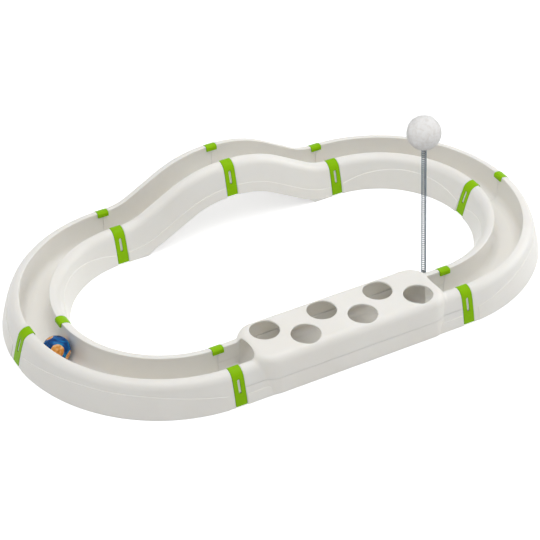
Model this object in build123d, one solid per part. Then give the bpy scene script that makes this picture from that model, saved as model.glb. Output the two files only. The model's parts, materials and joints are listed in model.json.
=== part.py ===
from build123d import *
from math import asin, atan2, cos, degrees, hypot, pi, radians, sin, sqrt, tan
import os

# Cat ball track: a closed loop of clipped track modules, a ball that runs round in it, a covered
# tunnel with paw holes, and a spring wand with a plush ball.
# Millimetres, +Z up, origin on the floor under the middle of the toy, +X along the tunnel.

# Layout of the loop
bend_radius = 145.0  # centreline of the quarter bends
ramp_length = 145.0  # one ramp in plan; the tunnel is as long as two
hill_height = 47.0  # rise of the track at the crest
hill_steepness = 1.55  # slope half way up, as a multiple of the mean slope
hill_lead = 4.0  # level stretch at both ends of a ramp
seam_gap = 0.3  # between the end faces of two modules

# Section of the track
wall = 2.0
channel_width = 33.2
channel_corner = 9.0
floor_top = 4.0
rim_height = 39.7
lip_radius = 1.0  # edge of the rim on the channel's side
shoulder_radius = 10.9  # from the top of the rim over to the skirt
foot_half_width = 38.2
skirt_radius = 252.0  # the skirts bulge outwards
panel_step = 0.6  # the lower panel of the skirt stands proud
panel_height = 12.0  # its upper edge at the ends of a module
panel_arch = 27.0  # and half way round a bend
rib_thickness = 2.0
rib_clearance = 1.0  # ribs under the track end above the floor
bend_ribs = 2
ramp_ribs = 2

# Feet of the ramps, measured from the low end
foot_flat = 32.0
foot_blend = 13.0

# Clips over the rims
clip_width = 13.4
clip_thickness = 1.8
clip_clearance = 0.4
clip_proud = 0.3  # above the track beside it
clip_lip = 2.6  # down the channel side of the rim
clip_floor_gap = 1.2
clip_edge = 0.5  # rounding of the outer edges

# Recessed seats of the clips on the ends of the modules
seat_clearance = 0.4
panel_inset = 1.2  # from a seat to the panels and feet
catch_low = 16.0
catch_high = 30.5
catch_rise = 1.4
catch_thickness = 1.2
catch_clearance = 0.3
window_length = 16.5

# Tunnel
neck_length = 21.0  # open track between the tunnel and its joints
tunnel_overhang = 1.2  # the tunnel is wider than the track's foot
tunnel_rise = 7.4  # and higher than its rims
tunnel_draft = 4.5
tunnel_corner = 27.0
tunnel_top_round = 10.0
tunnel_wall = 2.2
tunnel_seam = 20.0
tunnel_inner_round = 7.0
neck_blend = 5.0
mouth_side = 0.3  # the sides of a mouth go straight up to this far above the rims
mouth_roof = 2.6  # from its crown to the top of the tunnel
mouth_roundness = 0.85  # corner radius of its arch over the arch's rise
paw_hole_diameter = 33.3
paw_hole_edge = 0.9
paw_end_margin = 34.5  # from the tunnel's end to the middle of the nearest hole
paw_row_offset = 13.6
paw_row_shift = 18.0
paw_holes_per_row = 3
lap_thickness = 1.2
lap_rise = 2.5
lap_depth = 7.0
lap_end_margin = 9.0  # from the round corners
lap_clearance = 0.2
underside_recess = 1.8

# Ball
ball_clearance = 0.7  # to each channel wall
ball_floor_gap = 0.3
ball_wall = 1.6
ball_place = 189.2  # degrees round the left bend
ball_tilt = 25.0
spigot_thickness = 1.0
spigot_depth = 2.5
spigot_clearance = 0.2

# Spring wand
wand_setback = 11.6  # from the joint at the tunnel's right end
wand_stand_off = 2.8  # from the foot of the track
wand_lean = 3.1
socket_wall = 1.9
socket_height = 17.0
socket_bore = 4.6
socket_depth = 13.0
plug_clearance = 0.1
plug_flange_radius = 4.0
plug_flange = 2.0
plug_stub = 8.0
plug_chamfer = 0.55
spring_diameter = 6.0
spring_wire = 0.7
spring_turns = 71
spring_clearance = 0.3
plush_diameter = 38.0
plush_pile = 2.8
plush_centre = 198.3  # above the seat of the spring
plush_fit = 0.3
core_bore_depth = 15.0

# Worked out from the sizes above
channel_half = channel_width / 2
rim_offset = channel_half + wall
lip_offset = channel_half + lip_radius
shoulder_centre = (rim_offset, rim_height - shoulder_radius)
skirt_foot = foot_half_width - panel_step
seat_half = clip_width / 2 + seat_clearance
catch_pair = 2 * catch_thickness + seam_gap
clip_offset = clip_clearance + clip_thickness
seat_depth = clip_offset - clip_proud
panel_margin = seat_half + panel_inset
channel_round = (channel_half - channel_corner, floor_top + channel_corner)
tunnel_half_length = ramp_length - neck_length
tunnel_half_width = foot_half_width + tunnel_overhang
tunnel_height = rim_height + tunnel_rise
mouth_spring = rim_height + mouth_side
mouth_crown = tunnel_height - mouth_roof
paw_row_middle = (paw_holes_per_row - 1) / 2
paw_hole_pitch = (tunnel_half_length - paw_end_margin - paw_row_shift) / paw_row_middle
wand_x = ramp_length - wand_setback
wand_offset = foot_half_width + wand_stand_off
socket_radius = socket_bore / 2 + socket_wall
ball_radius = channel_half - ball_clearance
beyond = 2 * (ramp_length + bend_radius)  # cutting blocks reach past the whole toy

# The hill is an arc, a straight slope and an arc
hill_span = ramp_length - 2 * hill_lead
hill_angle = hill_steepness * atan2(hill_height, hill_span)
hill_radius = (hill_span * sin(hill_angle) - hill_height * cos(hill_angle)) / (2 * (1 - cos(hill_angle)))


def skirt_middle():
    """Centre of the skirt's arc, which passes through its foot and runs smoothly into the shoulder."""
    span = hypot(skirt_foot - shoulder_centre[0], shoulder_centre[1])
    span_out = (shoulder_centre[0] - skirt_foot) / span
    span_up = shoulder_centre[1] / span
    along = (skirt_radius**2 - (skirt_radius - shoulder_radius) ** 2 + span**2) / (2 * span)
    across = sqrt(skirt_radius**2 - along**2)
    return skirt_foot + along * span_out - across * span_up, along * span_up + across * span_out


skirt_centre = skirt_middle()
shoulder_turn = degrees(atan2(shoulder_centre[1] - skirt_centre[1], shoulder_centre[0] - skirt_centre[0]))


def skirt_angle(height, offset=0.0):
    """Angle on the skirt arc, or on a parallel of it, at a height."""
    return degrees(asin((height - skirt_centre[1]) / (skirt_radius + offset)))


def skirt_reach(height, offset=0.0):
    """Distance from the centreline to the skirt, or to a parallel of it, at a height."""
    return skirt_centre[0] + sqrt((skirt_radius + offset) ** 2 - (height - skirt_centre[1]) ** 2)


def hill(distance):
    """Height of the track at a plan distance from the crest."""
    run = hill_radius * sin(hill_angle)
    along = min(max(distance - hill_lead, 0), hill_span)
    if along <= run:
        return hill_height - hill_radius + sqrt(hill_radius**2 - along**2)
    if along >= hill_span - run:
        return hill_radius - sqrt(hill_radius**2 - (hill_span - along) ** 2)
    return hill_height / 2 + (hill_span / 2 - along) * tan(hill_angle)


# The tunnel at the front stands out more than the ramps at the back, so the loop is set back a little
loop_shift = tunnel_overhang / 2


def arc(centre, radius, start, end):
    return CenterArc(centre, radius, start, end - start)


def skirt_arc(offset, start, end):
    return arc(skirt_centre, skirt_radius + offset, start, end)


def shoulder_arc(offset, start, end):
    return arc(shoulder_centre, shoulder_radius + offset, start, end)


def lip_arc(offset, start, end, depth=0.0):
    """Arc about the rim's lip, on the outside of the track or this deep below it."""
    return arc((lip_offset, rim_height - depth - lip_radius), lip_radius + offset, start, end)


def closed_face(edges):
    """Face inside a chain of edges; straight lines close the gaps between them."""
    touching = 1e-6
    chain = []
    for edge, following in zip(edges, edges[1:] + edges[:1]):
        chain.append(edge)
        if (edge @ 1 - following @ 0).length > touching:
            chain.append(Line(edge @ 1, following @ 0))
    return make_face(chain)


def both_sides(face):
    return face + mirror(face, about=Plane.YZ)


def one_side(face, side):
    """The right half of a section (1) as it is, or as the left half (-1)."""
    return face if side > 0 else mirror(face, about=Plane.YZ)


def upright(face):
    """A section drawn in x and y, stood up across the track: x outwards, y up."""
    return Plane.XZ * face


def track_half(depth=0.0):
    """Right half of the track's section, with its rim and skirt this deep below the outside."""
    inside = -depth - wall
    return closed_face(
        [
            Line((0, floor_top - wall), (0, floor_top)),
            arc(channel_round, channel_corner, -90, 0),
            lip_arc(0, 180, 90, depth),
            shoulder_arc(-depth, 90, shoulder_turn),
            skirt_arc(-depth, shoulder_turn, skirt_angle(0, -depth)),
            skirt_arc(inside, skirt_angle(0, inside), shoulder_turn),
            shoulder_arc(inside, shoulder_turn, 90),
            arc(channel_round, channel_corner + wall, 0, -90),
        ]
    )


def step_half():
    """Right half of the wall between the track's outside and the inside of a seat."""
    inside = -seat_depth - wall
    return closed_face(
        [
            lip_arc(0, 180, 90),
            shoulder_arc(0, 90, shoulder_turn),
            skirt_arc(0, shoulder_turn, skirt_angle(0)),
            skirt_arc(inside, skirt_angle(0, inside), shoulder_turn),
            shoulder_arc(inside, shoulder_turn, 90),
        ]
    )


def skirt_band(inner, outer, low, high):
    """Face between two parallels of the skirt arc and two heights."""
    return closed_face(
        [
            skirt_arc(outer, skirt_angle(high, outer), skirt_angle(low, outer)),
            skirt_arc(inner, skirt_angle(low, inner), skirt_angle(high, inner)),
        ]
    )


def web_half(depth=0.0):
    """Face of the rib under one side of the track, half a wall deep into its neighbours."""
    sink = wall / 2
    side = channel_half + sink
    foot = channel_round[0]
    inside = -depth - sink
    return closed_face(
        [
            skirt_arc(inside, skirt_angle(rib_clearance, inside), shoulder_turn),
            shoulder_arc(inside, shoulder_turn, 90),
            Line((side, rim_height - depth - lip_radius), (side, channel_round[1])),
            arc(channel_round, channel_corner + sink, 0, -90),
            Line((foot, rib_clearance), (foot + sink, rib_clearance)),
        ]
    )


def module_end():
    """Catches and web at the end of a module, in the frame of its joint: x outwards across the track,
    y into the module."""
    start = Pos(0, seam_gap / 2, 0)
    catch = both_sides(skirt_band(-seat_depth - wall / 2, catch_rise - seat_depth, catch_low, catch_high))
    web = both_sides(web_half(seat_depth))
    return [
        start * extrude(upright(catch), catch_thickness, dir=(0, 1, 0)),
        start * extrude(upright(web), rib_thickness, dir=(0, 1, 0)),
    ]


def seated_shell(run, ends):
    """Track shell with a recessed seat at both ends. run(face) carries a half section along the module, and
    ends(length) is the space within a distance of its joints."""
    shell = run(track_half()) - ends(seat_half)
    shell += run(step_half()) & (ends(seat_half + wall) - ends(seat_half))
    return shell + (run(track_half(seat_depth)) & (ends(seat_half + wall) - ends(seam_gap / 2)))


def rib():
    return extrude(upright(both_sides(web_half())), rib_thickness / 2, both=True)


def bend_panel(side):
    """Proud lower panel on the outer (1) or inner (-1) skirt of a bend, arched along its upper edge."""
    face = one_side(skirt_band(-wall / 2, panel_step, 0, panel_arch), side)
    start = degrees(panel_margin / (bend_radius - foot_half_width))
    band = revolve(Pos(bend_radius, 0, 0) * upright(face), Axis.Z, 90 - 2 * start)
    top = bend_radius + side * (skirt_foot + rim_offset) / 2
    low = top * cos(radians(45))
    slope = (panel_arch - panel_height) / (top - low)
    above = Polygon(
        (0, panel_height - slope * low),
        (beyond, panel_height + slope * (beyond - low)),
        (0, beyond),
        align=None,
    )
    cutter = extrude(upright(above), beyond, both=True)
    return Rot(0, 0, start) * band - Rot(0, 0, 45) * cutter


def bend():
    """Quarter bend about the origin, from the +X axis to the +Y axis."""

    def run(face):
        return revolve(Pos(bend_radius, 0, 0) * upright(both_sides(face)), Axis.Z, 90)

    def ends(length):
        return Box(beyond, 2 * length, beyond) + Box(2 * length, beyond, beyond)

    near_end = [Pos(bend_radius, 0, 0) * solid for solid in module_end()]
    diagonal = Plane((0, 0, 0), x_dir=(0, 0, 1), z_dir=(1, -1, 0))
    far_end = [mirror(solid, about=diagonal) for solid in near_end]
    step = 90 / (bend_ribs + 1)
    ribs = [Rot(0, 0, step * (index + 1)) * Pos(bend_radius, 0, 0) * rib() for index in range(bend_ribs)]
    return seated_shell(run, ends) + near_end + far_end + ribs + [bend_panel(1), bend_panel(-1)]


def hill_path():
    """Centreline of a ramp from the crest, over x, to its low end."""
    angle = degrees(hill_angle)
    crest = arc((hill_lead, hill_height - hill_radius), hill_radius, 90, 90 - angle)
    dip = arc((ramp_length - hill_lead, hill_radius), hill_radius, 270 - angle, 270)
    edges = [
        Line((0, hill_height), crest @ 0),
        crest,
        Line(crest @ 1, dip @ 0),
        dip,
        Line(dip @ 1, (ramp_length, 0)),
    ]
    return Plane.XZ * Wire([edge.edge() for edge in edges])


def ramp_foot():
    """Foot under the low end of one skirt of a ramp, down to the floor."""
    tip = ramp_length - foot_flat - foot_blend
    end = ramp_length - panel_margin
    middle = (tip + end) / 2
    lift = wall / 2
    top = ThreePointArc((end, hill(end) + lift), (middle, hill(middle) + lift), (tip, hill(tip) + lift))
    side = closed_face([top, Line((ramp_length - foot_flat, 0), (end, 0))])
    return Pos(0, foot_half_width, 0) * extrude(Plane.XZ * side, wall)


def ramp():
    """Ramp along +X from the crest at the origin to its low end."""
    path = hill_path()
    crest = Pos(0, 0, hill_height)

    def run(face):
        return sweep(crest * (Plane.YZ * both_sides(face)), path)

    def ends(length):
        block = Box(2 * length, beyond, beyond)
        return block + Pos(ramp_length, 0, 0) * block

    def rib_at(share):
        across = Plane(path @ share, x_dir=(0, 1, 0), z_dir=path % share)
        return across * extrude(both_sides(web_half()), rib_thickness / 2, both=True)

    panel = run(skirt_band(-wall / 2, panel_step, 0, panel_height)) - ends(panel_margin)
    high_end = [crest * Rot(0, 0, -90) * solid for solid in module_end()]
    low_end = [Pos(ramp_length, 0, 0) * Rot(0, 0, 90) * solid for solid in module_end()]
    ribs = [rib_at((index + 1) / (ramp_ribs + 1)) for index in range(ramp_ribs)]
    feet = [ramp_foot(), mirror(ramp_foot(), about=Plane.XZ)]
    return seated_shell(run, ends) + high_end + low_end + ribs + [panel] + feet


def neck_outline(depth=0.0):
    """Outside of the track's section, or a parallel of it this deep below, with the channel filled in."""
    half = closed_face(
        [
            Line((0, 0), (0, rim_height - depth)),
            shoulder_arc(-depth, 90, shoulder_turn),
            skirt_arc(-depth, shoulder_turn, skirt_angle(0, -depth)),
        ]
    )
    return both_sides(half)


def neck_hollow(depth=0.0):
    """Hollow between the channel and the skirts, under the neck of the tunnel or under a seat on it."""
    inside = -depth - wall
    half = closed_face(
        [
            Line((0, 0), (0, floor_top - wall)),
            arc(channel_round, channel_corner + wall, -90, 0),
            shoulder_arc(inside, 90, shoulder_turn),
            skirt_arc(inside, shoulder_turn, skirt_angle(0, inside)),
        ]
    )
    return both_sides(half)


def mouth_space():
    """Section of the space inside the channel, closed over the rims by a three-centred arch."""
    rise = mouth_crown - mouth_spring
    corner = mouth_roundness * rise
    crown = (channel_half**2 + rise**2 - 2 * channel_half * corner) / (2 * (rise - corner))
    turn = degrees(atan2(crown - rise, channel_half - corner))
    half = closed_face(
        [
            Line((0, mouth_crown), (0, floor_top)),
            arc(channel_round, channel_corner, -90, 0),
            arc((channel_half - corner, mouth_spring), corner, 0, turn),
            arc((0, mouth_crown - crown), crown, turn, 90),
        ]
    )
    return both_sides(half)


def drafted_block(inset, low, high):
    """The tunnel's drafted outside, or a parallel of it inwards, between two heights."""
    slope = tan(radians(tunnel_draft))
    narrowing = inset + low * slope
    plan = RectangleRounded(
        2 * (tunnel_half_length - narrowing), 2 * (tunnel_half_width - narrowing), tunnel_corner - inset
    )
    return Pos(0, 0, low) * extrude(plan, high - low, taper=tunnel_draft)


def through(face, half_length):
    """A section across the tunnel, carried along it to both sides of its middle."""
    return extrude(Plane.YZ * face, half_length, both=True)


def tunnel_body():
    """Outside of the covered module: the body, its blended necks and the channel through them all."""
    block = drafted_block(0, 0, tunnel_height)
    block = fillet(block.faces().sort_by(Axis.Z)[-1].edges(), tunnel_top_round)
    neck = through(neck_outline(), ramp_length - seat_half)
    body = block + neck
    meets = new_edges(block, neck, combined=body)
    above_floor = meets.filter_by_position(Axis.Z, 0, tunnel_height, inclusive=(False, True))
    blended = fillet(above_floor, neck_blend)
    blended += through(neck_outline(seat_depth), ramp_length - seam_gap / 2)
    channel = through(mouth_space(), ramp_length)
    body = blended - channel
    near, far = tunnel_half_length - tunnel_corner, ramp_length - seam_gap
    lips = [edge for edge in new_edges(blended, channel, combined=body) if near < abs(edge.center().X) < far]
    return fillet([edge for edge in lips if edge.length > seam_gap], lip_radius)


def paw_holes():
    """Centres of the two staggered rows of holes."""
    return [
        ((column - paw_row_middle) * paw_hole_pitch - side * paw_row_shift, side * paw_row_offset)
        for side in (1, -1)
        for column in range(paw_holes_per_row)
    ]


def tunnel():
    """Base and cover of the covered module, centred on the origin."""
    body = tunnel_body()
    inside = drafted_block(tunnel_wall, floor_top, tunnel_height - tunnel_wall)
    inside = fillet(inside.faces().sort_by(Axis.Z)[-1].edges(), tunnel_inner_round)
    inside = fillet(inside.faces().sort_by(Axis.Z)[0].edges(), tunnel_inner_round)
    body -= inside
    hollow = through(neck_hollow(), ramp_length - seat_half - wall)
    hollow += through(neck_hollow(seat_depth), ramp_length)
    body -= hollow - drafted_block(0, 0, tunnel_height)
    band = both_sides(skirt_band(-wall / 2, panel_step, 0, panel_height))
    panel = through(band, ramp_length - panel_margin)
    body += panel - drafted_block(tunnel_wall / 2, 0, tunnel_height)
    for turn in (0, 180):
        body += [Rot(0, 0, turn) * Pos(ramp_length, 0, 0) * Rot(0, 0, 90) * solid for solid in module_end()]
    body -= drafted_block(tunnel_wall, 0, underside_recess)
    drill = Cylinder(paw_hole_diameter / 2, 4 * tunnel_wall)
    body -= [Pos(x, y, tunnel_height) * drill for x, y in paw_holes()]
    rims = body.edges().filter_by(GeomType.CIRCLE).group_by(Axis.Z)[-1]
    body = fillet(rims, paw_hole_edge)
    lower = Pos(0, 0, tunnel_seam - beyond / 2) * Box(beyond, beyond, beyond)
    upper = Pos(0, 0, tunnel_seam + seam_gap + beyond / 2) * Box(beyond, beyond, beyond)
    base = (body & lower) + [lap_strip(), mirror(lap_strip(), about=Plane.XZ)] + wand_socket()
    return base, body & upper


def lap_strip():
    """Strip inside a long wall of the base whose tongue stands behind the wall of the cover."""
    slope = tan(radians(tunnel_draft))

    def inner_wall(height):
        return tunnel_half_width - tunnel_wall - height * slope

    tongue = inner_wall(tunnel_seam + lap_rise) - lap_clearance
    section = Polygon(
        (tongue - lap_thickness, tunnel_seam + lap_rise),
        (tongue, tunnel_seam + lap_rise),
        (tongue, tunnel_seam - seam_gap),
        (inner_wall(tunnel_seam) + tunnel_wall / 2, tunnel_seam - seam_gap),
        (inner_wall(tunnel_seam - lap_depth) + tunnel_wall / 2, tunnel_seam - lap_depth),
        (tongue - lap_thickness, tunnel_seam - lap_depth + lap_thickness),
        align=None,
    )
    return through(section, tunnel_half_length - tunnel_corner - lap_end_margin)


def wand_frame():
    """Seat of the spring, above the socket in the tunnel's frame, leaning as the wand does."""
    return Pos(wand_x, wand_offset, socket_height + plug_flange) * Rot(0, -wand_lean, 0)


def wand_socket():
    """Round socket beside the neck of the tunnel, tied to its skirt by a web."""
    depth = wall / 2
    post = Pos(wand_x, wand_offset, socket_height / 2) * Cylinder(socket_radius, socket_height)
    web_top = socket_height - wall
    web = Polygon(
        (skirt_reach(0, -depth), 0),
        (wand_offset, 0),
        (wand_offset, web_top),
        (skirt_reach(web_top, -depth), web_top),
        align=None,
    )
    post += Pos(wand_x, 0, 0) * extrude(Plane.YZ * web, rib_thickness, both=True)
    bore = Pos(0, 0, -plug_flange - socket_depth / 2) * Cylinder(socket_bore / 2, socket_depth)
    mouth = Pos(0, 0, socket_radius - plug_flange) * Cylinder(2 * socket_radius, 2 * socket_radius)
    return post - wand_frame() * bore - wand_frame() * mouth


def wand_plug():
    """Plug in the socket: shank, flange and the stub that the spring is pushed over."""
    shank_length = socket_depth - plug_clearance
    shank = Pos(0, 0, -plug_flange - shank_length / 2)
    stub_radius = spring_diameter / 2 - spring_wire - spring_clearance
    plug = shank * Cylinder(socket_bore / 2 - plug_clearance, shank_length)
    plug += Pos(0, 0, -plug_flange / 2) * Cylinder(plug_flange_radius, plug_flange)
    stub = Pos(0, 0, plug_stub / 2) * Cylinder(stub_radius, plug_stub)
    stub = chamfer(stub.edges().group_by(Axis.Z)[-1], plug_chamfer)
    return plug + stub


def spring_rise():
    """Height of the spring's wire axis from its first to its last turn."""
    top = plush_centre - plush_diameter / 2 + plush_pile + core_bore_depth
    return top - 2 * (spring_wire / 2 + spring_clearance)


def wand_spring():
    """Spring as one round wire on a helix of half-turn biarcs, with short straight ends."""
    radius = (spring_diameter - spring_wire) / 2
    rise = spring_rise() / (2 * pi * spring_turns)
    start = spring_wire / 2 + spring_clearance

    def point(angle):
        return Vector(radius * cos(angle), radius * sin(angle), start + rise * angle)

    def heading(angle):
        return Vector(-radius * sin(angle), radius * cos(angle), rise).normalized()

    edges = [Line(point(0) - heading(0) * spring_wire, point(0)).edge()]
    for half_turn in range(2 * spring_turns):
        first, last = pi * half_turn, pi * (half_turn + 1)
        chord = point(last) - point(first)
        both = heading(first) + heading(last)
        spread = 2 * (1 - heading(first).dot(heading(last)))
        reach = (sqrt(chord.dot(both) ** 2 + spread * chord.dot(chord)) - chord.dot(both)) / spread
        leaving = point(first) + heading(first) * reach
        arriving = point(last) - heading(last) * reach
        middle = (leaving + arriving) * 0.5
        edges.append(Edge.make_tangent_arc(point(first), heading(first), middle))
        edges.append(Edge.make_tangent_arc(middle, arriving - leaving, point(last)))
    end = 2 * pi * spring_turns
    edges.append(Line(point(end), point(end) + heading(end) * spring_wire).edge())
    path = Wire(edges)
    section = Plane(path @ 0, z_dir=path % 0) * Circle(spring_wire / 2)
    print(f"least gap between the turns of the spring: {spring_gap(point):.2f} mm")
    return sweep(section, path)


def spring_gap(point, samples=24):
    """Least distance between neighbouring turns, on points of the wire's axis, less the wire."""
    step = 2 * pi / samples
    places = [point(step * index) for index in range(samples * spring_turns)]
    nearest = min(
        (places[index] - places[index + ahead]).length
        for ahead in range(3 * samples // 4, 5 * samples // 4)
        for index in range(len(places) - ahead)
    )
    return nearest - spring_wire


def plush_ball():
    """Foam core with the bore for the spring, and the plush cover round it."""
    centre = Pos(0, 0, plush_centre)
    outer = plush_diameter / 2
    core_radius = outer - plush_pile
    bore_radius = spring_diameter / 2 + spring_clearance
    bore_end = plush_centre - core_radius + core_bore_depth
    core = centre * Sphere(core_radius)
    core -= Pos(0, 0, bore_end / 2) * Cylinder(bore_radius, bore_end)
    cover = centre * Sphere(outer) - centre * Sphere(core_radius + plush_fit)
    cover -= Pos(0, 0, plush_centre / 2) * Cylinder(bore_radius + plush_fit, plush_centre)
    return core, cover


def ball_halves():
    """Two hollow half balls about the origin; a spigot on the upper one centres them."""
    inner = ball_radius - ball_wall
    ball = Sphere(ball_radius) - Sphere(inner)
    gap = seam_gap / 2
    lower = ball & Pos(0, 0, -beyond / 2) * Box(beyond, beyond, beyond)
    upper = ball & Pos(0, 0, gap + beyond / 2) * Box(beyond, beyond, beyond)
    spigot = sqrt(inner**2 - spigot_depth**2) - spigot_clearance
    section = Polygon(
        (spigot - spigot_thickness, -spigot_depth),
        (spigot, -spigot_depth),
        (spigot, gap),
        (inner + ball_wall / 2, gap),
        (inner + ball_wall / 2 - spigot_thickness / 2, spigot_depth),
        (spigot - spigot_thickness, spigot_depth),
        align=None,
    )
    return lower, upper + revolve(upright(section), Axis.Z)


def clip():
    """One clip in the frame of its joint: x outwards across the track, y along it."""
    inner, outer = clip_clearance - seat_depth, clip_proud
    lip = rim_height - seat_depth - lip_radius
    hook = channel_half - clip_offset
    profile = closed_face(
        [
            Line((hook, lip - clip_lip), (hook, lip)),
            lip_arc(clip_offset, 180, 90, seat_depth),
            shoulder_arc(outer, 90, shoulder_turn),
            skirt_arc(outer, shoulder_turn, skirt_angle(clip_floor_gap, outer)),
            skirt_arc(inner, skirt_angle(clip_floor_gap, inner), shoulder_turn),
            shoulder_arc(inner, shoulder_turn, 90),
            lip_arc(clip_clearance, 90, 180, seat_depth),
            Line((hook + clip_thickness, lip), (hook + clip_thickness, lip - clip_lip)),
        ]
    )
    strap = extrude(upright(profile), clip_width / 2, both=True)
    outer_radii = (lip_radius + clip_offset, shoulder_radius + outer, skirt_radius + outer)
    outer_edges = [
        edge
        for edge in strap.edges().filter_by(GeomType.CIRCLE)
        if any(abs(edge.radius - radius) < clip_clearance for radius in outer_radii)
    ]
    strap = fillet(outer_edges, clip_edge)
    width = catch_pair + 2 * catch_clearance
    catch_top = catch_rise - seat_depth + catch_clearance
    groove = skirt_band(-seat_depth, catch_top, 0, catch_high + catch_clearance)
    strap -= extrude(upright(groove), width / 2, both=True)
    height = (catch_low + catch_high) / 2
    angle = radians(skirt_angle(height))
    window_plane = Plane((skirt_reach(height), 0, height), x_dir=(0, 1, 0), z_dir=(cos(angle), 0, sin(angle)))
    window = window_plane * SlotOverall(window_length, width, rotation=90)
    return strap - extrude(window, 2 * clip_offset, both=True)


def joints():
    """The seven joints of the loop: name, place and direction outwards from the loop."""
    end = ramp_length + bend_radius
    return [
        ("left", (-end, loop_shift, 0), 180),
        ("back_left", (-ramp_length, loop_shift + bend_radius, 0), 90),
        ("crest", (0, loop_shift + bend_radius, hill_height), 90),
        ("back_right", (ramp_length, loop_shift + bend_radius, 0), 90),
        ("right", (end, loop_shift, 0), 0),
        ("front_right", (ramp_length, loop_shift - bend_radius, 0), -90),
        ("front_left", (-ramp_length, loop_shift - bend_radius, 0), -90),
    ]


def assembly():
    """Every piece by name, in its place."""
    quarter, slope, strap = bend(), ramp(), clip()
    left, right = Pos(-ramp_length, loop_shift, 0), Pos(ramp_length, loop_shift, 0)
    back, front = Pos(0, loop_shift + bend_radius, 0), Pos(0, loop_shift - bend_radius, 0)
    pieces = {
        "bend_front_left": left * Rot(0, 0, 180) * quarter,
        "bend_back_left": left * Rot(0, 0, 90) * quarter,
        "bend_back_right": right * quarter,
        "bend_front_right": right * Rot(0, 0, -90) * quarter,
        "ramp_left": back * Rot(0, 0, 180) * slope,
        "ramp_right": back * slope,
    }
    base, cover = tunnel()
    pieces["tunnel_base"], pieces["tunnel_cover"] = front * base, front * cover
    for name, place, outwards in joints():
        pieces[f"clip_outer_{name}"] = Pos(place) * Rot(0, 0, outwards) * strap
        pieces[f"clip_inner_{name}"] = Pos(place) * Rot(0, 0, outwards + 180) * strap
    rolling = left * Rot(0, 0, ball_place) * Pos(bend_radius, 0, floor_top + ball_floor_gap + ball_radius)
    lower, upper = ball_halves()
    pieces["ball_lower_half"] = rolling * Rot(ball_tilt, 0, 0) * lower
    pieces["ball_upper_half"] = rolling * Rot(ball_tilt, 0, 0) * upper
    wand = front * wand_frame()
    core, plush = plush_ball()
    pieces["wand_plug"] = wand * wand_plug()
    pieces["wand_spring"] = wand * wand_spring()
    pieces["plush_core"], pieces["plush_cover"] = wand * core, wand * plush
    return pieces


os.makedirs("parts", exist_ok=True)
for node, solid in assembly().items():
    export_step(solid, f"parts/{node}.step")
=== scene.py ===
"""The look of the cat ball track toy: its finishes, the sprung wand, the light and the camera."""
import json
import math
import random

import bpy
from mathutils import Matrix, Vector, noise


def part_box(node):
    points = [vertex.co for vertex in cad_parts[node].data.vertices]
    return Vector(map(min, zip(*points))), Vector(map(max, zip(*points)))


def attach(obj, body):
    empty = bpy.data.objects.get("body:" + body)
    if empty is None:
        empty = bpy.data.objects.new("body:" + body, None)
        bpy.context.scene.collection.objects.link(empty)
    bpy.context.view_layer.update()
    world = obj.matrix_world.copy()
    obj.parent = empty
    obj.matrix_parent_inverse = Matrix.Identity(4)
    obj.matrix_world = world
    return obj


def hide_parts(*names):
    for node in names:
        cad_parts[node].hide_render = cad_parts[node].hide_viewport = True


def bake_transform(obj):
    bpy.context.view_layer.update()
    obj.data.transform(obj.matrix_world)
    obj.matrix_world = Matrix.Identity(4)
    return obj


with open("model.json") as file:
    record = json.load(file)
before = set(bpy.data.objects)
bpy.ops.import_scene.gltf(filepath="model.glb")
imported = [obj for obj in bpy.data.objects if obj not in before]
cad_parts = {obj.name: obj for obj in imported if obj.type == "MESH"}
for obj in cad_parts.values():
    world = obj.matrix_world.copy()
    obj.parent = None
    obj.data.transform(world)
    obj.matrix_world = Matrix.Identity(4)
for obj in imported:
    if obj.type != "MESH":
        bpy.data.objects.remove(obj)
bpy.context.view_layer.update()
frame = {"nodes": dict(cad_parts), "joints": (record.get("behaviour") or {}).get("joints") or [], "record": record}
record = frame["record"]

# Camera, in metres and degrees, as the photograph was taken
CAMERA_PLACE = (-0.8697, -1.5461, 1.3471)
CAMERA_HEADING = 29.079  # from +Y towards +X
CAMERA_DROP = 37.041  # below the horizon
CAMERA_LENS = 128.07  # millimetres on the sensor below
CAMERA_SENSOR = 36.0

# Light: radiance of the surroundings, and soft boxes as place, target, size and watts
SURROUNDINGS = 0.40
SOFT_BOXES = {
    "overhead_box": ((-0.1, -0.25, 2.4), (0.0, 0.0, 0.0), 2.4, 33.0),
    "left_box": ((-2.2, 0.2, 1.1), (-0.1, 0.0, 0.0), 1.4, 2.0),
    "right_box": ((2.3, -0.3, 1.0), (0.1, 0.0, 0.0), 1.4, 16.5),
}
FLOOR_HALF = 8.0
FLOOR_DROP = 0.0003  # the floor lies this far under the toy
FLOOR_WHITE = (0.8, 0.8, 0.8, 1.0)
FLOOR_GLOW = 0.60  # for the viewer, so that the floor is white and still takes a shadow

# Finish of the moulded plastics, sizes in metres
CLOUD_SIZE = 0.09
GLOSS_PATCH = 0.012
GRAIN_STRENGTH = 0.35
LIGHT_REACH = 0.003  # how far light travels under the surface
LIGHT_REACH_RGB = (1.0, 0.9, 0.75)

# Spring of the wand, in metres
SPRING_WIRE = 0.0009  # a little over the solid's wire, which is too fine to show its colour
SPRING_DIAMETER = 0.0060  # over all
SPRING_TURNS = 71
SPRING_SIDES = 10
SPRING_STEPS = 28  # along one turn
SPRING_END_GAP = 0.0003

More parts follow.
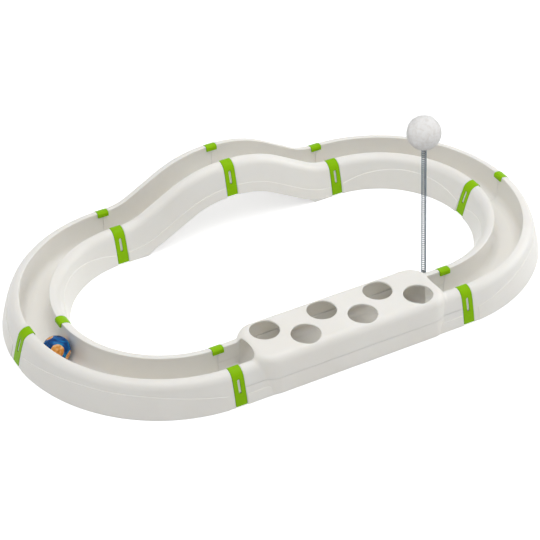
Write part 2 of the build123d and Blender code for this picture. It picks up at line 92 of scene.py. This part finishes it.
# Plush ball on the wand, in metres
PLUSH_DIAMETER = 0.0392
PLUSH_BACKING = 0.0184  # radius of the woven backing that the pile stands on
PLUSH_BORE = 0.0036
PLUSH_BORE_DEPTH = 0.0150
PLUSH_LIP = math.asin(PLUSH_BORE / PLUSH_BACKING)  # half angle of the bore's mouth
PLUSH_RINGS = 72
PLUSH_SIDES = 112
PLUSH_POLE = 0.02  # radians from the last ring to the top
PLUSH_LUMPS = ((0.030, 2.4), (0.016, 6.5))  # height and frequency, in ball radii
PLUSH_LIFT = 0.30  # the pile catches light as if it leaned this far up the wand
PLUSH_SEED = 11
STRANDS = 4200
STRAND_WIDTH = 0.00016
STRAND_ROOT = 0.0006  # depth of the root in the backing
STRAND_LENGTHS = (0.5, 1.3)  # in depths of the pile
STRAND_JITTER = 0.03  # how far a strand strays from its even place, in ball radii
STRAND_KNEE = 0.55  # place of the bow along the strand
STRAND_KNEE_WIDTH = 0.75
STRAND_TIP_SWAY = 2.2  # sway of the tip, in sways of the knee
COMB_FREQUENCY = 2.6
COMB_PULL = 0.45  # lean that neighbours share
COMB_STRAY = 0.16  # lean of each strand's own
COMB_SWAY = 0.7

# Ball
BALL_SPOT_REACH = 0.46  # radius of the largest printed spot along the surface, in ball radii
BALL_SPOT_STEP = 0.22  # each smaller size of spot loses this share of it
BALL_SPOT_RAGGED = 0.05  # unevenness of the spots' edges
BALL_SPOT_SOFT = 0.006  # softness of the spots' edges
BALL_SPOTS = 7
BALL_SPOT_TURN = 2.05  # radians round the ball's upright axis


def material(name):
    """New material with its node tree and its shader."""
    made = bpy.data.materials.new(name)
    made.use_nodes = True
    return made, made.node_tree, made.node_tree.nodes["Principled BSDF"]


def node(tree, kind, inputs=None, **settings):
    """New node with some inputs set, each to a value or linked to another node's output."""
    made = tree.nodes.new(kind)
    for key, value in settings.items():
        setattr(made, key, value)
    for key, value in (inputs or {}).items():
        if isinstance(value, bpy.types.NodeSocket):
            tree.links.new(value, made.inputs[key])
        else:
            made.inputs[key].default_value = value
    return made


def place(tree):
    """Place on the surface in metres, which rides with the piece."""
    return node(tree, "ShaderNodeTexCoord").outputs["Object"]


def mottle(tree, where, size, detail=3.0, distortion=0.0):
    """Cloudy pattern from 0 to 1 with features of about this size."""
    inputs = {"Vector": where, "Scale": 1 / size, "Detail": detail, "Distortion": distortion}
    return node(tree, "ShaderNodeTexNoise", inputs).outputs["Fac"]


def blend_colours(tree, factor, stops):
    """Colour that runs through (place, colour) stops as the factor goes from 0 to 1."""
    ramp = node(tree, "ShaderNodeValToRGB", {"Fac": factor})
    elements = ramp.color_ramp.elements
    while len(elements) < len(stops):
        elements.new(1.0)
    for element, (position, colour) in zip(elements, stops):
        element.position = position
        element.color = (*colour, 1.0)
    return ramp.outputs["Color"]


def between(tree, factor, low, high):
    """The factor stretched from 0..1 to low..high."""
    inputs = {"Value": factor, "To Min": low, "To Max": high}
    return node(tree, "ShaderNodeMapRange", inputs).outputs["Result"]


def relief(tree, height, strength, depth):
    """Surface direction of a fine relief with this depth in metres."""
    inputs = {"Height": height, "Strength": strength, "Distance": depth}
    return node(tree, "ShaderNodeBump", inputs).outputs["Normal"]


def moulded_plastic(name, stops, roughness, grain, grain_depth, reflection=0.5, translucency=0.0):
    """Injection-moulded plastic: slight clouding of the colour, a fine grain and uneven gloss."""
    made, tree, shader = material(name)
    shader.inputs["Specular IOR Level"].default_value = reflection
    shader.inputs["Subsurface Weight"].default_value = translucency
    shader.inputs["Subsurface Radius"].default_value = LIGHT_REACH_RGB
    shader.inputs["Subsurface Scale"].default_value = LIGHT_REACH
    where = place(tree)
    clouds = mottle(tree, where, CLOUD_SIZE, detail=4.0, distortion=0.6)
    tree.links.new(blend_colours(tree, clouds, stops), shader.inputs["Base Color"])
    gloss = between(tree, mottle(tree, where, GLOSS_PATCH, detail=5.0), *roughness)
    tree.links.new(gloss, shader.inputs["Roughness"])
    bumps = mottle(tree, where, grain, detail=2.0)
    surface = relief(tree, bumps, GRAIN_STRENGTH, grain_depth)
    tree.links.new(surface, shader.inputs["Normal"])
    return made


def track_plastic():
    """Warm white satin plastic of the track."""
    stops = [(0.3, (0.862, 0.838, 0.788)), (0.7, (0.895, 0.876, 0.832))]
    return moulded_plastic("track_plastic", stops, (0.30, 0.46), 0.0007, 0.00006, translucency=0.4)


def clip_plastic():
    """Lime green plastic of the clips."""
    stops = [(0.3, (0.240, 0.512, 0.002)), (0.7, (0.285, 0.578, 0.004))]
    return moulded_plastic("clip_plastic", stops, (0.24, 0.40), 0.0006, 0.00005, reflection=0.07)


def plug_plastic():
    """Duller white plastic of the wand's plug."""
    stops = [(0.3, (0.770, 0.755, 0.725)), (0.7, (0.820, 0.810, 0.785))]
    return moulded_plastic("plug_plastic", stops, (0.38, 0.52), 0.0005, 0.00004)


def even_directions(count):
    """Unit vectors spread evenly over a ball, on a spiral from pole to pole."""
    turn = math.pi * (3 - math.sqrt(5))
    found = []
    for index in range(count):
        height = 1 - 2 * (index + 0.5) / count
        ring = math.sqrt(1 - height * height)
        found.append(Vector((ring * math.cos(turn * index), ring * math.sin(turn * index), height)))
    return found


def ball_plastic():
    """Glossy ball with blue marbling, whose lightest cyan is a painted glint, and printed orange spots of several
    sizes.
    """
    low, high = ball_box()
    centre, radius = (low + high) / 2, (high.x - low.x) / 2
    made, tree, shader = material("ball_plastic")
    offset = node(tree, "ShaderNodeVectorMath", {0: place(tree), 1: centre}, operation="SUBTRACT")
    inputs = {0: offset.outputs[0], "Scale": 1 / radius}
    where = node(tree, "ShaderNodeVectorMath", inputs, operation="SCALE").outputs[0]
    marble = mottle(tree, where, 0.85, detail=4.0, distortion=1.8)
    blue = blend_colours(
        tree,
        marble,
        [
            (0.30, (0.001, 0.020, 0.075)),
            (0.44, (0.001, 0.065, 0.250)),
            (0.54, (0.001, 0.120, 0.390)),
            (0.63, (0.001, 0.230, 0.450)),
            # lightest stop: painted cyan glints, scattered over the ball by the marbling noise
            (0.76, (0.030, 0.420, 0.560)),
        ],
    )
    wobble = mottle(tree, where, 0.30, detail=3.0)
    orange = blend_colours(
        tree,
        mottle(tree, where, 0.22, detail=4.0),
        [
            (0.30, (0.560, 0.170, 0.020)),
            (0.50, (0.780, 0.330, 0.070)),
            (0.68, (0.880, 0.560, 0.260)),
        ],
    )
    colour = blue
    turn = Matrix.Rotation(BALL_SPOT_TURN, 3, "Z")
    for index, direction in enumerate(even_directions(BALL_SPOTS)):
        reach = BALL_SPOT_REACH * (1.0 - BALL_SPOT_STEP * ((index + 2) % 3))
        inputs = {0: where, 1: turn @ direction}
        dot = node(tree, "ShaderNodeVectorMath", inputs, operation="DOT_PRODUCT")
        inputs = {0: wobble, 1: BALL_SPOT_RAGGED, 2: dot.outputs["Value"]}
        ragged = node(tree, "ShaderNodeMath", inputs, operation="MULTIPLY_ADD").outputs[0]
        edge = math.cos(reach) + BALL_SPOT_RAGGED / 2
        low_edge, high_edge = edge - BALL_SPOT_SOFT, edge + BALL_SPOT_SOFT
        inputs = {"Value": ragged, "From Min": low_edge, "From Max": high_edge}
        mask = node(tree, "ShaderNodeMapRange", inputs).outputs["Result"]
        inputs = {"Factor": mask, "A": colour, "B": orange}
        colour = node(tree, "ShaderNodeMix", inputs, data_type="RGBA").outputs["Result"]
    tree.links.new(colour, shader.inputs["Base Color"])
    gloss = between(tree, mottle(tree, where, 0.15), 0.10, 0.20)
    tree.links.new(gloss, shader.inputs["Roughness"])
    shader.inputs["Specular IOR Level"].default_value = 0.15
    return made


def ball_box():
    """Low and high corner of both halves of the ball together."""
    boxes = [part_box(name) for name in ("ball_lower_half", "ball_upper_half")]
    low = Vector([min(box[0][axis] for box in boxes) for axis in range(3)])
    high = Vector([max(box[1][axis] for box in boxes) for axis in range(3)])
    return low, high


def spring_steel():
    """Drawn wire: dark bluish steel, clouded, with an uneven gloss."""
    made, tree, shader = material("spring_steel")
    where = place(tree)
    clouds = mottle(tree, where, 0.004, detail=4.0)
    stops = [(0.3, (0.035, 0.055, 0.078)), (0.7, (0.140, 0.195, 0.245))]
    tree.links.new(blend_colours(tree, clouds, stops), shader.inputs["Base Color"])
    gloss = between(tree, mottle(tree, where, 0.0008, detail=4.0), 0.16, 0.42)
    tree.links.new(gloss, shader.inputs["Roughness"])
    shader.inputs["Metallic"].default_value = 1.0
    shader.inputs["Specular Tint"].default_value = (0.30, 0.42, 0.54, 1.0)
    return made


def plush():
    """Short pale pile: colour clouded from tuft to tuft, with a soft sheen."""
    made, tree, shader = material("plush")
    where = place(tree)
    tufts = mottle(tree, where, 0.0042, detail=5.0, distortion=0.8)
    stops = [
        (0.32, (0.885, 0.864, 0.834)),
        (0.50, (0.968, 0.955, 0.936)),
        (0.62, (0.992, 0.986, 0.978)),
    ]
    tree.links.new(blend_colours(tree, tufts, stops), shader.inputs["Base Color"])
    gloss = between(tree, mottle(tree, where, 0.0006), 0.75, 0.95)
    tree.links.new(gloss, shader.inputs["Roughness"])
    shader.inputs["Sheen Weight"].default_value = 1.0
    shader.inputs["Sheen Roughness"].default_value = 0.5
    return made


def foam():
    """Open foam under the plush."""
    stops = [(0.3, (0.780, 0.740, 0.640)), (0.7, (0.850, 0.820, 0.740))]
    return moulded_plastic("foam", stops, (0.80, 0.95), 0.0012, 0.0004)


MATERIALS = {
    "track_plastic": track_plastic(),
    "clip_plastic": clip_plastic(),
    "plug_plastic": plug_plastic(),
    "ball_plastic": ball_plastic(),
    "spring_steel": spring_steel(),
    "plush": plush(),
    "foam": foam(),
}


def dress_nodes():
    """Gives each CAD piece the finish of its slot."""
    for subpart in record["subparts"]:
        piece = frame["nodes"][subpart["node"]]
        piece.data.materials.clear()
        piece.data.materials.append(MATERIALS[subpart["material_slot"]])


def new_piece(name, points, faces, slot):
    """Smooth mesh piece with the finish of a slot."""
    mesh = bpy.data.meshes.new(name)
    mesh.from_pydata(points, [], faces)
    mesh.polygons.foreach_set("use_smooth", [True] * len(mesh.polygons))
    mesh.materials.append(MATERIALS[slot])
    mesh.update()
    piece = bpy.data.objects.new(name, mesh)
    bpy.context.scene.collection.objects.link(piece)
    return piece


def wand_line():
    """Seat of the spring, pivot of its bend, middle of the plush ball and direction of the wand."""
    joint = next(joint for joint in frame["joints"] if joint["name"] == "wand_bend")
    pivot = Vector(joint["pos_m"])
    seat_height = joint["deforming_nodes"][0]["fixed_end_z_m"]
    low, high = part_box("plush_cover")
    radius = (high.x - low.x) / 2
    middle = Vector(((low.x + high.x) / 2, (low.y + high.y) / 2, high.z - radius))
    direction = (middle - pivot).normalized()
    seat = pivot - direction * ((pivot.z - seat_height) / direction.z)
    return seat, pivot, middle, direction


def wand_basis(direction):
    """Rotation whose third column is the wand's direction."""
    side = Vector((0, 1, 0)).cross(direction).normalized()
    return Matrix((side, direction.cross(side), direction)).transposed()


def tube_rings(count, sides):
    """Faces of a tube of so many rings, closed by one face at each end."""
    faces = []
    for ring in range(count - 1):
        for side in range(sides):
            a, b = ring * sides + side, ring * sides + (side + 1) % sides
            faces.append((a, b, b + sides, a + sides))
    last = (count - 1) * sides
    faces.append(tuple(reversed(range(sides))))
    faces.append(tuple(range(last, last + sides)))
    return faces


def spring_coil():
    """The spring as one round wire on a helix from its seat into the plush ball."""
    seat, pivot, middle, direction = wand_line()
    basis = wand_basis(direction)
    radius = (SPRING_DIAMETER - SPRING_WIRE) / 2
    margin = SPRING_WIRE / 2 + SPRING_END_GAP
    low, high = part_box("plush_core")
    core_radius = (high.x - low.x) / 2
    top = (middle - seat).length - core_radius + PLUSH_BORE_DEPTH - margin
    rise = top - margin
    climb = rise / (2 * math.pi * SPRING_TURNS * radius)
    steps = SPRING_TURNS * SPRING_STEPS
    points = []
    for step in range(steps + 1):
        angle = 2 * math.pi * step / SPRING_STEPS
        outwards = Vector((math.cos(angle), math.sin(angle), 0))
        along = Vector((-math.sin(angle), math.cos(angle), climb))
        across = along.normalized().cross(outwards)
        centre = outwards * radius + Vector((0, 0, margin + rise * step / steps))
        for side in range(SPRING_SIDES):
            turn = 2 * math.pi * side / SPRING_SIDES
            rim = outwards * math.cos(turn) + across * math.sin(turn)
            points.append(seat + basis @ (centre + rim * (SPRING_WIRE / 2)))
    piece = new_piece("spring_coil", points, tube_rings(steps + 1, SPRING_SIDES), "spring_steel")
    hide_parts("wand_spring")
    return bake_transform(piece)


def lumps(direction):
    """Radius of the plush on this side, as a share of its plain radius."""
    share = 1
    for height, frequency in PLUSH_LUMPS:
        share += height * noise.noise(direction * frequency)
    return share


def plush_backing():
    """Points and faces of the plush ball's backing: a lumpy ball bored from below for the spring."""
    points = []
    lip_height = -PLUSH_BACKING * math.cos(PLUSH_LIP)
    bore_top = -PLUSH_BACKING + PLUSH_BORE_DEPTH
    profile = [(PLUSH_BORE * share, bore_top) for share in (0.5, 1.0)]
    for share in (0.3, 0.7):
        profile.append((PLUSH_BORE, bore_top * (1 - share) + lip_height * share))
    start = len(profile)
    for ring in range(PLUSH_RINGS + 1):
        span = math.pi - PLUSH_LIP - PLUSH_POLE
        angle = -math.pi / 2 + PLUSH_LIP + span * ring / PLUSH_RINGS
        profile.append((PLUSH_BACKING * math.cos(angle), PLUSH_BACKING * math.sin(angle)))
    for ring, (reach, height) in enumerate(profile):
        for side in range(PLUSH_SIDES):
            turn = 2 * math.pi * side / PLUSH_SIDES
            point = Vector((reach * math.cos(turn), reach * math.sin(turn), height))
            if ring >= start:
                point *= lumps(point.normalized())
            points.append(point)
    return points, tube_rings(len(profile), PLUSH_SIDES)


def strand(root, tip, sway, width):
    """Points and faces of one closed three-sided strand that bows sideways and ends in a point."""
    along = (tip - root).normalized()
    side = along.orthogonal().normalized()
    other = along.cross(side)
    points = []
    knee = root.lerp(tip, STRAND_KNEE) + sway
    for centre, size in ((root, width), (knee, width * STRAND_KNEE_WIDTH)):
        for index in range(3):
            turn = 2 * math.pi * index / 3
            points.append(centre + (side * math.cos(turn) + other * math.sin(turn)) * size)
    points.append(tip + sway * STRAND_TIP_SWAY)
    faces = [(2, 1, 0)]
    for index in range(3):
        following = (index + 1) % 3
        faces.append((index, following, following + 3, index + 3))
        faces.append((index + 3, following + 3, 6))
    return points, faces


def plush_ball():
    """The plush ball on the wand: backing and pile."""
    _, _, middle, direction = wand_line()
    points, faces = plush_backing()
    draw = random.Random(PLUSH_SEED)
    for place_on_ball in even_directions(STRANDS):
        if place_on_ball.z < -math.cos(PLUSH_LIP):
            continue
        jitter = Vector((draw.gauss(0, 1), draw.gauss(0, 1), draw.gauss(0, 1)))
        outwards = (place_on_ball + jitter * STRAND_JITTER).normalized()
        comb = noise.noise_vector(outwards * COMB_FREQUENCY) * COMB_PULL + jitter * COMB_STRAY
        length = (PLUSH_DIAMETER / 2 - PLUSH_BACKING) * draw.uniform(*STRAND_LENGTHS)
        skin = PLUSH_BACKING * lumps(outwards)
        root = outwards * (skin - STRAND_ROOT)
        tip = outwards * (skin + length)
        sway = (comb - outwards * comb.dot(outwards)) * length * COMB_SWAY
        strand_points, strand_faces = strand(root, tip, sway, STRAND_WIDTH)
        base = len(points)
        points += strand_points
        faces += [tuple(base + index for index in face) for face in strand_faces]
    basis = wand_basis(direction)
    piece = new_piece("plush_ball", [middle + basis @ point for point in points], faces, "plush")
    lift = direction * PLUSH_LIFT
    spokes = [(vertex.co - middle).normalized() for vertex in piece.data.vertices]
    leaning = [(spoke + lift).normalized() for spoke in spokes]
    piece.data.normals_split_custom_set_from_vertices(leaning)
    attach(piece, "wand")
    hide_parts("plush_cover", "plush_core")
    return piece


def seen_by_viewer(tree):
    """1 for rays that the camera, a mirror or glass sees, and 0 for light on its way to the toy."""
    path = node(tree, "ShaderNodeLightPath").outputs
    inputs = {0: path["Is Camera Ray"], 1: path["Is Glossy Ray"]}
    either = node(tree, "ShaderNodeMath", inputs, operation="MAXIMUM").outputs[0]
    inputs = {0: either, 1: path["Is Transmission Ray"]}
    return node(tree, "ShaderNodeMath", inputs, operation="MAXIMUM").outputs[0]


def floor():
    """Plain white floor that takes the toy's shadow."""
    signs = [(-1, -1), (1, -1), (1, 1), (-1, 1)]
    corners = [(x * FLOOR_HALF, y * FLOOR_HALF, -FLOOR_DROP) for x, y in signs]
    mesh = bpy.data.meshes.new("floor")
    mesh.from_pydata(corners, [], [(0, 1, 2, 3)])
    made, tree, shader = material("floor")
    shader.inputs["Base Color"].default_value = FLOOR_WHITE
    shader.inputs["Roughness"].default_value = 1.0
    shader.inputs["Specular IOR Level"].default_value = 0.0
    shader.inputs["Emission Color"].default_value = (1.0, 1.0, 1.0, 1.0)
    inputs = {0: seen_by_viewer(tree), 1: FLOOR_GLOW}
    glow = node(tree, "ShaderNodeMath", inputs, operation="MULTIPLY")
    tree.links.new(glow.outputs[0], shader.inputs["Emission Strength"])
    mesh.materials.append(made)
    piece = bpy.data.objects.new("floor", mesh)
    bpy.context.scene.collection.objects.link(piece)


def surroundings():
    """Even white surroundings: plain light on the toy, white behind it."""
    world = bpy.data.worlds.new("surroundings")
    world.use_nodes = True
    tree = world.node_tree
    background = tree.nodes["Background"]
    background.inputs["Color"].default_value = (1.0, 1.0, 1.0, 1.0)
    strength = between(tree, seen_by_viewer(tree), SURROUNDINGS, 1.0)
    tree.links.new(strength, background.inputs["Strength"])
    bpy.context.scene.world = world


def soft_boxes():
    """The lamps, each turned to its target."""
    for name, (spot, target, size, watts) in SOFT_BOXES.items():
        lamp = bpy.data.lights.new(name, "AREA")
        lamp.size = size
        lamp.energy = watts
        piece = bpy.data.objects.new(name, lamp)
        piece.location = spot
        aim = Vector(target) - Vector(spot)
        piece.rotation_euler = aim.to_track_quat("-Z", "Y").to_euler()
        bpy.context.scene.collection.objects.link(piece)


def camera():
    """The camera, at the photograph's place."""
    lens = bpy.data.cameras.new("camera")
    lens.sensor_width = CAMERA_SENSOR
    lens.lens = CAMERA_LENS
    piece = bpy.data.objects.new("camera", lens)
    piece.location = CAMERA_PLACE
    piece.rotation_euler = (math.radians(90 - CAMERA_DROP), 0, math.radians(-CAMERA_HEADING))
    bpy.context.scene.collection.objects.link(piece)
    bpy.context.scene.camera = piece


dress_nodes()
spring_coil()
plush_ball()
floor()
surroundings()
soft_boxes()
camera()
bpy.context.scene.view_settings.view_transform = "Standard"
